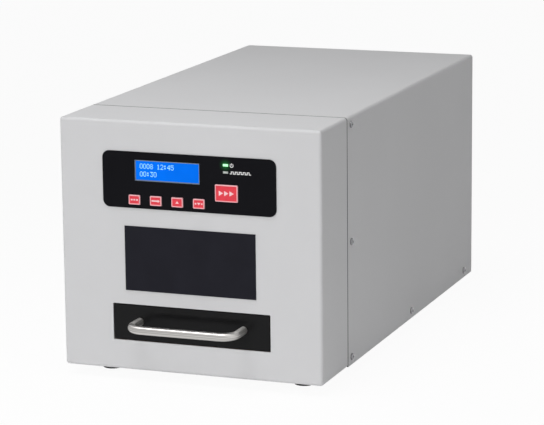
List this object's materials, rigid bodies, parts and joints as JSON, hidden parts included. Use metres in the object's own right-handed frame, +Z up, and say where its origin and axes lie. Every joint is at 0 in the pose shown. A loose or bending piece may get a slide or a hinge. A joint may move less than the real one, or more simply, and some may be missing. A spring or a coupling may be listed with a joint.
{
  "type": "hard drive degausser",
  "caption": "Bench degausser: sheet metal case with a keypad and display over a sliding drawer that carries a hard drive into a pulse coil.",
  "frame": {"origin": "on the floor under the middle of the outline, drawer shut", "axes": "+Z up, the front with the drawer faces -Y, +X to the right seen from the front"},
  "size_m": [0.271, 0.5429, 0.2554],
  "materials": {
    "case_paint": "light grey fine textured powder coat",
    "screw_steel": "bright zinc",
    "foot_rubber": "matt black rubber",
    "overlay_black": "black satin polyester sheet",
    "display_blue": "lit blue display",
    "display_frame": "tinned steel",
    "light_guide": "white acrylic",
    "board_green": "green circuit board",
    "standoff_brass": "plain brass",
    "key_red": "red moulded key with a pale rim",
    "lamp_green": "lit green lens",
    "lamp_clear": "pale lens",
    "label_black": "black satin plate",
    "drawer_black": "black polished plastic",
    "tray_black": "black moulded plastic",
    "handle_chrome": "bright nickel",
    "phenolic": "brown laminated phenolic",
    "runner_white": "white slippery plastic",
    "copper": "enamelled and plain copper",
    "terminal_brass": "plain brass",
    "zinc_steel": "zinc plated",
    "bare_aluminium": "mill finish",
    "lamination": "varnished laminations",
    "moulded_black": "black moulded plastic"
  },
  "bodies": {
    "chassis": {"front_panel": "case_paint", "top_cover": "case_paint", "base_pan": "case_paint", "rear_panel": "case_paint", "case_screws": "screw_steel", "foot_screws": "screw_steel", "inlet_screws": "screw_steel", "feet": "foot_rubber", "keypad_overlay": "overlay_black", "lcd_glass": "display_blue", "lcd_frame": "display_frame", "lcd_backlight": "light_guide", "lcd_board": "board_green", "keypad_board": "board_green", "control_board": "board_green", "board_standoffs": "standoff_brass", "power_led": "lamp_green", "status_led": "lamp_clear", "label_plate": "label_black", "coil_former": "phenolic", "coil_cheeks": "phenolic", "drawer_runners": "runner_white", "drawer_stops": "runner_white", "coil_winding": "copper", "bus_bars": "copper", "series_link": "copper", "transformer_winding": "copper", "capacitor_terminals": "terminal_brass", "inlet_pins": "terminal_brass", "joint_strips": "zinc_steel", "coil_angles": "zinc_steel", "sensor_bracket": "zinc_steel", "electronics_shelf": "zinc_steel", "transformer_strap": "zinc_steel", "capacitor_clamps": "zinc_steel", "floor_plate": "bare_aluminium", "heat_sink": "bare_aluminium", "capacitor_cans": "bare_aluminium", "bleed_resistors": "bare_aluminium", "transformer_core": "lamination", "key_switches": "moulded_black", "board_components": "moulded_black", "thyristor_module": "moulded_black", "fan_frame": "moulded_black", "mains_inlet": "moulded_black", "power_switch": "moulded_black", "drawer_sensor": "moulded_black"},
    "drawer": {"drawer_front": "drawer_black", "drawer_tray": "tray_black", "drawer_handle": "handle_chrome", "handle_screws": "screw_steel", "drawer_flag": "moulded_black"},
    "key_1": {"key_1": "key_red"},
    "key_2": {"key_2": "key_red"},
    "key_3": {"key_3": "key_red"},
    "key_4": {"key_4": "key_red"},
    "start_key": {"start_key": "key_red"},
    "rocker": {"power_rocker": "moulded_black"},
    "fan": {"fan_rotor": "moulded_black"}
  },
  "joints": [
    {"name": "drawer_slide", "type": "slide", "parent": "chassis", "child": "drawer", "axis": [0, -1, 0], "range_m": [0, 0.195]},
    {"name": "key_1_press", "type": "slide", "parent": "chassis", "child": "key_1", "axis": [0, 1, 0], "range_m": [0, 0.0006], "stiffness_N_per_m": 400, "springref_m": -0.002},
    {"name": "key_2_press", "type": "slide", "parent": "chassis", "child": "key_2", "axis": [0, 1, 0], "range_m": [0, 0.0006], "stiffness_N_per_m": 400, "springref_m": -0.002},
    {"name": "key_3_press", "type": "slide", "parent": "chassis", "child": "key_3", "axis": [0, 1, 0], "range_m": [0, 0.0006], "stiffness_N_per_m": 400, "springref_m": -0.002},
    {"name": "key_4_press", "type": "slide", "parent": "chassis", "child": "key_4", "axis": [0, 1, 0], "range_m": [0, 0.0006], "stiffness_N_per_m": 400, "springref_m": -0.002},
    {"name": "start_key_press", "type": "slide", "parent": "chassis", "child": "start_key", "axis": [0, 1, 0], "range_m": [0, 0.0006], "stiffness_N_per_m": 400, "springref_m": -0.002},
    {"name": "rocker_tilt", "type": "hinge", "parent": "chassis", "child": "rocker", "pos_m": [0.066, 0.26285, 0.105], "axis": [-1, 0, 0], "range_deg": [0, 18]},
    {"name": "fan_spin", "type": "hinge", "parent": "chassis", "child": "fan", "pos_m": [-0.062, 0.25, 0.175], "axis": [0, 1, 0], "continuous": true}
  ]
}
